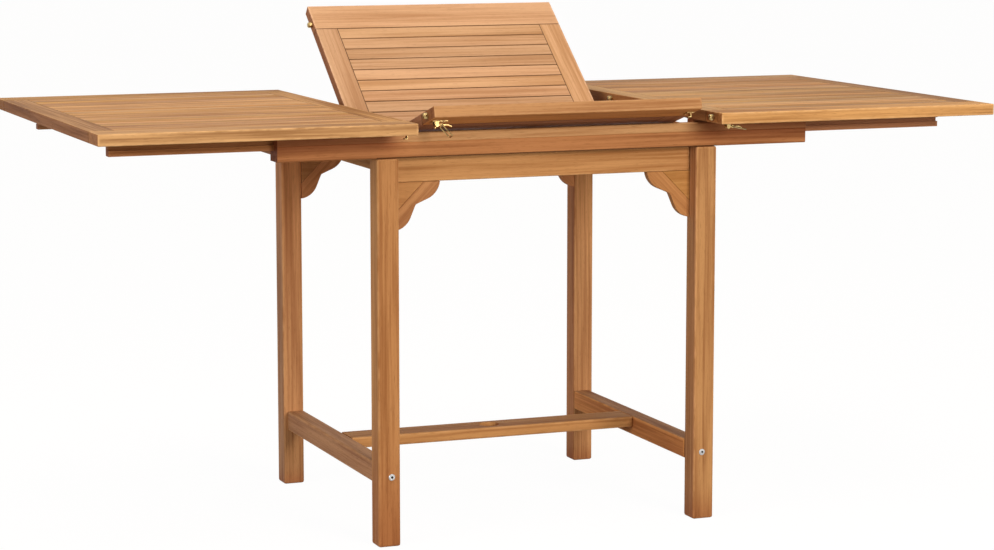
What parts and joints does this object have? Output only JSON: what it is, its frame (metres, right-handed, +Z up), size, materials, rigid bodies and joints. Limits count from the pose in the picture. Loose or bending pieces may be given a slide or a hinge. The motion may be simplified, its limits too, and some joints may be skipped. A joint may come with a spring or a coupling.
{
  "type": "extending garden table",
  "caption": "Rectangular teak garden table whose slatted halves pull apart for a folding butterfly leaf on a pivot.",
  "frame": {"origin": "on the floor under the middle of the table", "axes": "+X along the table to its right end, +Y from front to back, +Z up"},
  "size_m": [1.665, 0.8, 0.914],
  "materials": {
    "teak_legs": "oiled",
    "teak_frame": "oiled",
    "teak_boards": "oiled",
    "teak_slats": "oiled",
    "teak_leaf": "oiled",
    "brass": "satin",
    "steel": "satin"
  },
  "bodies": {
    "base": {"leg_front_left": "teak_legs", "leg_front_right": "teak_legs", "leg_back_left": "teak_legs", "leg_back_right": "teak_legs", "bolt_front_left": "steel", "bolt_front_right": "steel", "bolt_back_left": "steel", "bolt_back_right": "steel", "apron_front": "teak_frame", "apron_back": "teak_frame", "end_apron_left": "teak_frame", "end_apron_right": "teak_frame", "bracket_front_left": "teak_frame", "bracket_front_right": "teak_frame", "bracket_back_left": "teak_frame", "bracket_back_right": "teak_frame", "centre_stretcher": "teak_legs", "side_stretcher_left": "teak_legs", "side_stretcher_right": "teak_legs", "rail_front": "teak_frame", "rail_back": "teak_frame", "cross_rail_left": "teak_frame", "pivot_bar_left": "teak_frame", "pivot_pin_left": "steel", "cross_rail_right": "teak_frame", "pivot_bar_right": "teak_frame", "pivot_pin_right": "steel"},
    "left_half": {"left_half_board_front": "teak_boards", "left_half_board_back": "teak_boards", "left_half_slats": "teak_slats", "left_half_runner_front": "teak_frame", "left_half_runner_back": "teak_frame", "left_half_catch": "brass"},
    "right_half": {"right_half_board_front": "teak_boards", "right_half_board_back": "teak_boards", "right_half_slats": "teak_slats", "right_half_runner_front": "teak_frame", "right_half_runner_back": "teak_frame", "right_half_pin_front": "brass", "right_half_pin_middle": "brass", "right_half_latch_base": "brass"},
    "back_panel": {"back_panel_board": "teak_leaf", "back_panel_slats": "teak_leaf", "back_panel_pin": "brass", "fold_hinge_back_left": "brass", "fold_hinge_back_right": "brass", "back_panel_cleat_left": "teak_frame", "back_panel_cleat_right": "teak_frame"},
    "front_panel": {"front_panel_board": "teak_leaf", "front_panel_slats": "teak_leaf", "front_panel_pin": "brass", "fold_hinge_front_left": "brass", "fold_hinge_front_right": "brass", "front_panel_latch_base": "brass", "front_panel_catch": "brass", "front_panel_batten": "teak_frame"},
    "front_panel_latch_lever": {"front_panel_latch_lever": "brass"},
    "front_panel_latch_bail": {"front_panel_latch_bail": "brass"},
    "right_half_latch_lever": {"right_half_latch_lever": "brass"},
    "right_half_latch_bail": {"right_half_latch_bail": "brass"}
  },
  "joints": [
    {"name": "left_half_slide", "type": "slide", "parent": "base", "child": "left_half", "axis": [1, 0, 0], "range_m": [-0.02, 0.032]},
    {"name": "right_half_slide", "type": "slide", "parent": "base", "child": "right_half", "axis": [-1, 0, 0], "range_m": [-0.02, 0.032]},
    {"name": "leaf_pivot", "type": "hinge", "parent": "base", "child": "back_panel", "pos_m": [0, 0.12, 0.7085], "axis": [1, 0, 0], "range_deg": [-38.3, 85.6]},
    {"name": "leaf_fold", "type": "hinge", "parent": "back_panel", "child": "front_panel", "pos_m": [0, 0.00011, 0.6667], "axis": [-1, 0, 0], "range_deg": [-54.41, 121.6]},
    {"name": "front_panel_lever_turn", "type": "hinge", "parent": "front_panel", "child": "front_panel_latch_lever", "pos_m": [-0.236, -0.35815, 0.74169], "axis": [0, 0.9608, -0.2773], "range_deg": [0, 60]},
    {"name": "front_panel_bail_turn", "type": "hinge", "parent": "front_panel_latch_lever", "child": "front_panel_latch_bail", "pos_m": [-0.2275, -0.35815, 0.74169], "axis": [0, 0.9608, -0.2773], "range_deg": [-38, 35]},
    {"name": "right_half_lever_turn", "type": "hinge", "parent": "right_half", "child": "right_half_latch_lever", "pos_m": [0.3105, -0.365, 0.7227], "axis": [0, 1, 0], "range_deg": [0, 60]},
    {"name": "right_half_bail_turn", "type": "hinge", "parent": "right_half_latch_lever", "child": "right_half_latch_bail", "pos_m": [0.319, -0.365, 0.7227], "axis": [0, 1, 0], "range_deg": [-8, 65]}
  ],
  "couplings": [
    {"joint": "leaf_fold", "follows": "leaf_pivot", "ratio": 1.4204}
  ]
}
